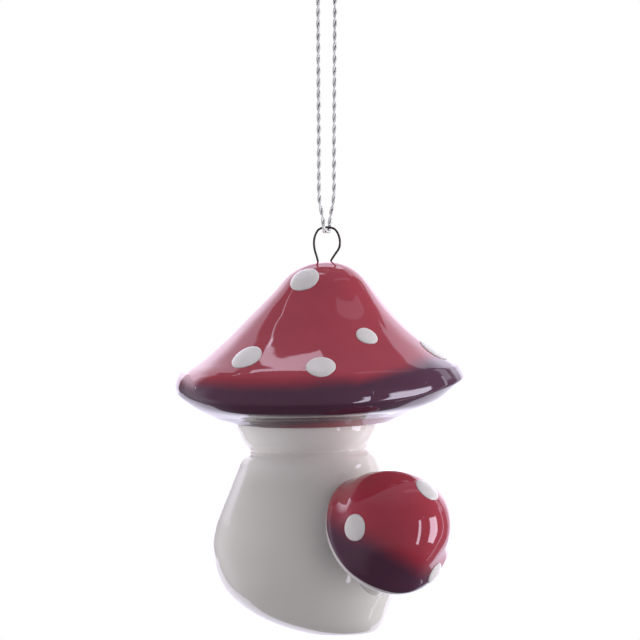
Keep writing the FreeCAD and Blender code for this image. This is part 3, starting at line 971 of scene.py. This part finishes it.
def add_dots(dots, cap, place):
    """The dots of one cap by the names of their nodes; place took the cap's mesh where it is."""
    back = place.inverted()
    points = [back @ vertex.co for vertex in cap.vertices]
    glaze = BVHTree.FromPolygons(points, [tuple(face.vertices) for face in cap.polygons])
    made = {}
    for number, (node, (turn, distance, radius)) in enumerate(dots.items()):
        turn = math.radians(turn)
        above = Vector((distance * math.sin(turn), -distance * math.cos(turn), ABOVE_CAP))
        seat, outward, _, _ = glaze.ray_cast(above, Vector((0, 0, -1)))
        made[node] = dome(node + "_enamel", glaze, seat, outward, radius, number)
        made[node].data.transform(place)
    return made


dot_enamel, tree, shader = new_material("dot_enamel", {"Roughness": 0.28, "IOR": 1.5})
surface = use_group(tree, fired, {"Scale": 400.0, "Waviness": 0.3})
colour = blended(tree, surface["Tone"], *ENAMEL_TONES)
feed(tree, shader, {"Base Color": colour, "Normal": surface["Normal"]})

enamel_dots = add_dots(CAP_DOTS, large_cap.data, hang)
enamel_dots.update(add_dots(BUD_DOTS, small_cap.data, hang @ grow))
for node, piece in enamel_dots.items():
    piece.data.materials.append(dot_enamel)
    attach(piece, "ornament")
    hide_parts(node)

# ---------------------------------------------------------------- floor
# A pale painted floor below the hanging ornament, which goes over to plain white away from it.
# It throws no light back and isn't mirrored in the glaze.
FLOOR_LEVEL = -0.20
FLOOR_HALF = 4
FLOOR_TONES = ((0.93, 0.93, 0.93), (0.97, 0.97, 0.97))
FLOOR_FADE = (0.21, 0.6)
CORNERS = ((-1, -1), (1, -1), (1, 1), (-1, 1))
floor_mesh = bpy.data.meshes.new("floor")
floor_mesh.from_pydata(
    [(x * FLOOR_HALF, y * FLOOR_HALF, FLOOR_LEVEL) for x, y in CORNERS], [], [(0, 1, 2, 3)]
)
floor = link("floor", floor_mesh)
floor.visible_glossy = False
floor.visible_diffuse = False

floor_paint, tree, shader = new_material("floor_paint", {"Roughness": 0.7})
grain = add_node(tree, "TexNoise", {"Scale": 40.0}).outputs["Fac"]
feed(tree, shader, {"Base Color": blended(tree, grain, *FLOOR_TONES)})
distance = add_node(tree, "VectorMath", {0: place_on(tree)}, operation="LENGTH").outputs["Value"]
far_off = passage(tree, distance, *FLOOR_FADE)
from_lens = add_node(tree, "LightPath").outputs["Is Camera Ray"]
seen_far = reckon(tree, "MULTIPLY", from_lens, far_off)
white_light = add_node(tree, "Emission", {"Color": (1, 1, 1, 1)}).outputs["Emission"]
looks = {0: seen_far, 1: shader.outputs["BSDF"], 2: white_light}
floor_look = add_node(tree, "MixShader", looks).outputs["Shader"]
feed(tree, tree.nodes["Material Output"], {"Surface": floor_look})

floor_mesh.materials.append(floor_paint)

# ---------------------------------------------------------------- light
# The ornament hangs in a white room.  What its glaze mirrors is a dim room with bright strips at
# the right, screens behind it, a soft screen at the left and three on the ceiling.
# Each panel: its middle and half width round the ornament, from the front towards the right, its
# lower and upper edge above the level, the softness of its edges, in degrees, and its strength.
PANELS = (
    (54.5, 2.6, -30, 14, 0.8, 6.0),
    (90, 10, -22, 14, 1.0, 6.0),
    (119.5, 1.6, -40, 20, 0.8, 1.6),
    (-174, 47, 21, 42, 1.0, 0.95),
    (-152, 30, 14, 34, 6.0, 1.7),
    (162, 22, 14, 34, 7.0, 0.85),
    (-145, 11, 42, 51, 1.0, 0.9),
    (150, 16, 42, 47, 1.0, 0.95),
    (180, 24, 42, 53, 1.0, 1.9),
    (-179, 29, -8, 21, 1.4, 1.9),
    (180, 36, -36, -8, 1.4, 1.15),
    (-120, 16, -30, 16, 9.0, 0.45),
    (146, 6, -8, 21, 1.4, 0.9),
    (127, 6, 14, 34, 1.6, 0.9),
)
# The same on the ceiling: a turn, then hundredths of its height to the right and to the back.
CEILING = (
    (-26.6, -32.5, 25.5, 9.1, 18.6, 0.7, 2.5),
    (44.4, 46, 34, -35, -25, 0.8, 0.4),
    (0, -61, 17, 32, 34.5, 0.6, 2.4),
)
HUNDREDTHS = 100.0
CEILING_END = 0.02
# The room's own tone, darker under the ornament and lighter over it, between heights in degrees.
ROOM_TONE = 0.28
GROUND_TONE = 0.10
GROUND_EDGE = (-52.0, -34.0)
SKY_TONE = 0.14
SKY_EDGE = (35.0, 65.0)
GLOSS_TINT = (0.96, 0.92, 1.10)
# The soft light that colour takes: more from the right, the back and above, and from both sides.
SOFT_FROM = (0.42, 0.30, 0.20)
SOFT_SIDES = 2.0
SOFT_LEVEL = 0.36

# Panel: a mask of what lies inside a soft-edged oblong, given by two angles or two distances.
panel, taken, given = new_group(
    "panel",
    (
        ("Azimuth", "Float", 0.0),
        ("Elevation", "Float", 0.0),
        ("Middle", "Float", 0.0),
        ("Half Width", "Float", 10.0),
        ("Low", "Float", 0.0),
        ("High", "Float", 10.0),
        ("Edge", "Float", 1.0),
    ),
    (("Mask", "Float"),),
)
away = reckon(panel, "SUBTRACT", taken["Azimuth"], taken["Middle"])
away = add_node(panel, "Math", {0: away, 1: -180.0, 2: 180.0}, operation="WRAP").outputs[0]
inside = reckon(panel, "SUBTRACT", taken["Half Width"], reckon(panel, "ABSOLUTE", away))
over_low = reckon(panel, "SUBTRACT", taken["Elevation"], taken["Low"])
under_high = reckon(panel, "SUBTRACT", taken["High"], taken["Elevation"])
inside = reckon(panel, "MINIMUM", reckon(panel, "MINIMUM", inside, over_low), under_high)
share = reckon(panel, "DIVIDE", inside, taken["Edge"])
feed(panel, given, {"Mask": passage(panel, share, -1.0, 1.0, kind="SMOOTHSTEP")})

world = bpy.data.worlds.new("studio")
scene.world = world
world.use_nodes = True
tree = world.node_tree
direction = add_node(tree, "TexCoord").outputs["Generated"]
parts = add_node(tree, "SeparateXYZ", {"Vector": direction}).outputs
frontward = reckon(tree, "MULTIPLY", parts["Y"], -1.0)
turn = reckon(tree, "DEGREES", reckon(tree, "ARCTAN2", parts["X"], frontward))
height = reckon(tree, "DEGREES", reckon(tree, "ARCSINE", parts["Z"]))
ground = passage(tree, height, *GROUND_EDGE, ends=(GROUND_TONE, ROOM_TONE))
sky = passage(tree, height, *SKY_EDGE, ends=(0.0, SKY_TONE))
seen = reckon(tree, "ADD", ground, sky)

upward = reckon(tree, "MAXIMUM", parts["Z"], CEILING_END)
rightward = reckon(tree, "MULTIPLY", reckon(tree, "DIVIDE", parts["X"], upward), HUNDREDTHS)
backward = reckon(tree, "MULTIPLY", reckon(tree, "DIVIDE", parts["Y"], upward), HUNDREDTHS)
on_ceiling = add_node(tree, "CombineXYZ", {"X": rightward, "Y": backward}).outputs["Vector"]
spread = [(turn, height, *row) for row in PANELS]
for slant, *row in CEILING:
    swing = {"Vector": on_ceiling, "Angle": -math.radians(slant)}
    place = add_node(tree, "VectorRotate", swing, rotation_type="Z_AXIS").outputs["Vector"]
    place = add_node(tree, "SeparateXYZ", {"Vector": place}).outputs
    spread.append((place["X"], place["Y"], *row))
words = ("Azimuth", "Elevation", "Middle", "Half Width", "Low", "High", "Edge")
for *where, strength in spread:
    lit = use_group(tree, panel, dict(zip(words, where)))["Mask"]
    seen = reckon(tree, "ADD", seen, reckon(tree, "MULTIPLY", lit, strength))

around = dot(tree, direction, SOFT_FROM)
sideways = reckon(tree, "MULTIPLY", reckon(tree, "MULTIPLY", parts["X"], parts["X"]), SOFT_SIDES)
soft = reckon(tree, "ADD", reckon(tree, "ADD", around, sideways), SOFT_LEVEL)
rays = add_node(tree, "LightPath").outputs
glossy, from_lens = rays["Is Glossy Ray"], rays["Is Camera Ray"]
level = add_node(tree, "Mix", {"Factor": glossy, "A": soft, "B": seen}).outputs["Result"]
level = add_node(tree, "Mix", {"Factor": from_lens, "A": level, "B": 1.0}).outputs["Result"]
tint = blended(tree, glossy, (1, 1, 1), GLOSS_TINT)
shown = add_node(tree, "VectorMath", {0: tint, 1: level}, operation="MULTIPLY").outputs["Vector"]
feed(tree, tree.nodes["Background"], {"Color": shown})
scene.view_settings.view_transform = "Standard"
